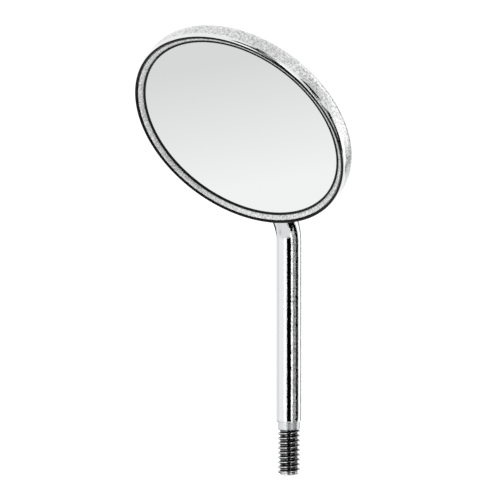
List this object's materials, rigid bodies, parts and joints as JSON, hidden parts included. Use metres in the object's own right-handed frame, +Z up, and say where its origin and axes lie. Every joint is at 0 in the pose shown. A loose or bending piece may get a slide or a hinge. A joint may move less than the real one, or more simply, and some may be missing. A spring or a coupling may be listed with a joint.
{
  "type": "mouth mirror",
  "caption": "Round front-surface mouth mirror held in a steel cup by a retaining ring, on a short bent stem with a shoulder and a threaded stud that screws into a handle.",
  "frame": {"origin": "on the stem's axis, in the plane of the shoulder that seats against the handle", "axes": "+Z up the stem towards the mirror, so the threaded stud points along -Z; the mirror leans forward and faces -Y and down"},
  "size_m": [0.022, 0.0155, 0.0433],
  "materials": {
    "polished_steel": "mirror polished stainless steel",
    "satin_steel": "satin stainless steel",
    "weld_steel": "smooth satin weld",
    "mirror_film": "vacuum-coated rhodium front surface",
    "mirror_glass": "float glass with a ground edge",
    "black_seal": "satin black sealing cement",
    "cement": "matt grey bonding cement"
  },
  "bodies": {
    "root": {"retaining_ring": "satin_steel", "back_cup": "polished_steel", "stem": "polished_steel", "weld_bead": "weld_steel", "mirror_film": "mirror_film", "mirror_glass": "mirror_glass", "inner_seal": "black_seal", "outer_seal": "black_seal", "bonding_cement": "cement"}
  },
  "joints": []
}
